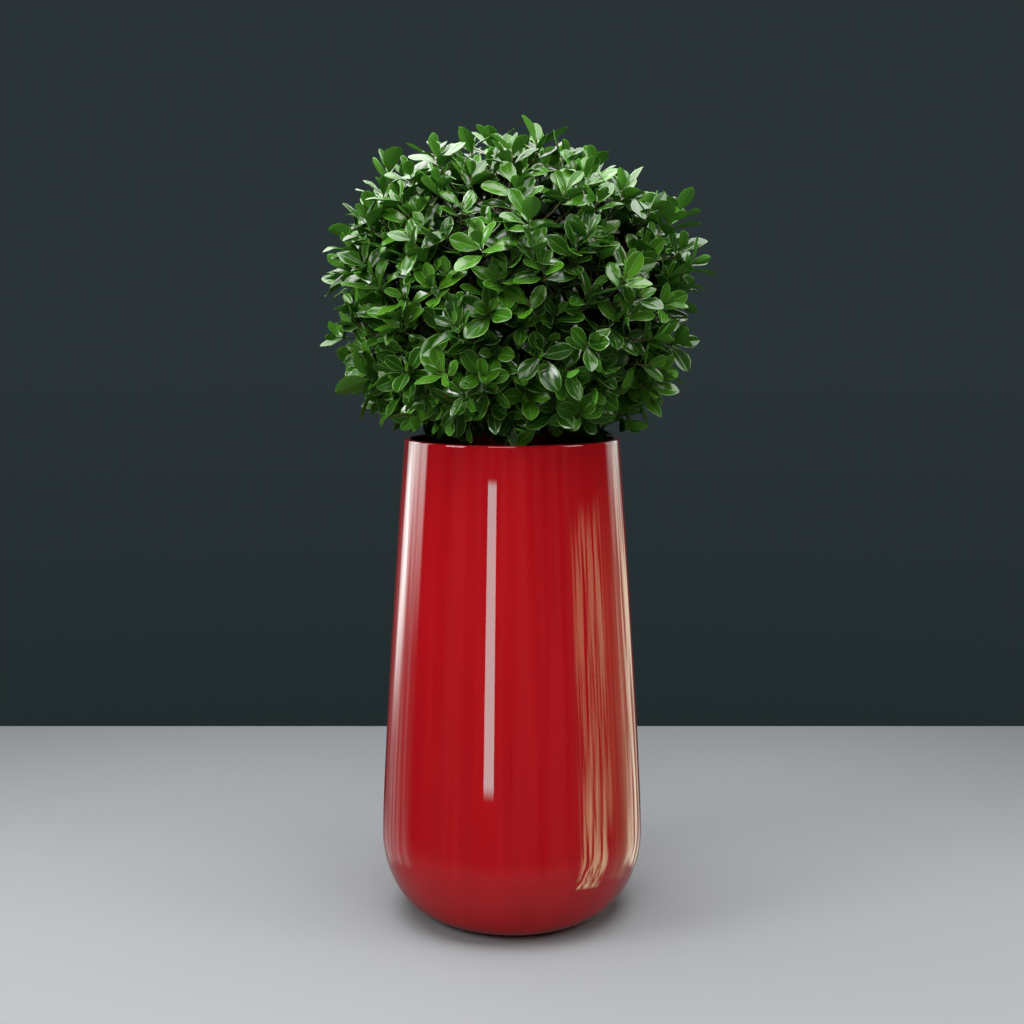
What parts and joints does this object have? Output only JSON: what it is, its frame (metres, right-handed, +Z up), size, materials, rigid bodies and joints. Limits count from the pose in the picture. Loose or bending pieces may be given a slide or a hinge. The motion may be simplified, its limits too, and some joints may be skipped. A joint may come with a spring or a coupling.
{
  "type": "potted ficus",
  "caption": "Potted ficus: a dense round crown of small glossy leaves on a short forked stem, in a tall glossy red planter with a narrow rim and a rounded foot.",
  "frame": {"origin": "centre of the planter's flat underside", "axes": "+Z up along the planter's axis; the picture is taken from -Y, with +X to its right"},
  "size_m": [0.6229, 0.6171, 1.3061],
  "materials": {
    "planter": "gloss",
    "soil": "matte",
    "bark": "matte",
    "foliage": "satin"
  },
  "bodies": {
    "root": {"planter": "planter", "soil": "soil", "trunk": "bark", "bough_upper_1": "bark", "bough_upper_2": "bark", "bough_upper_3": "bark", "bough_upper_4": "bark", "bough_upper_5": "bark", "bough_lower_1": "bark", "bough_lower_2": "bark", "bough_lower_3": "bark", "bough_lower_4": "bark", "bough_lower_5": "bark", "bough_lower_6": "bark", "foliage_top": "foliage", "foliage_upper_1": "foliage", "foliage_upper_2": "foliage", "foliage_upper_3": "foliage", "foliage_upper_4": "foliage", "foliage_upper_5": "foliage", "foliage_lower_1": "foliage", "foliage_lower_2": "foliage", "foliage_lower_3": "foliage", "foliage_lower_4": "foliage", "foliage_lower_5": "foliage", "foliage_lower_6": "foliage"}
  },
  "joints": []
}
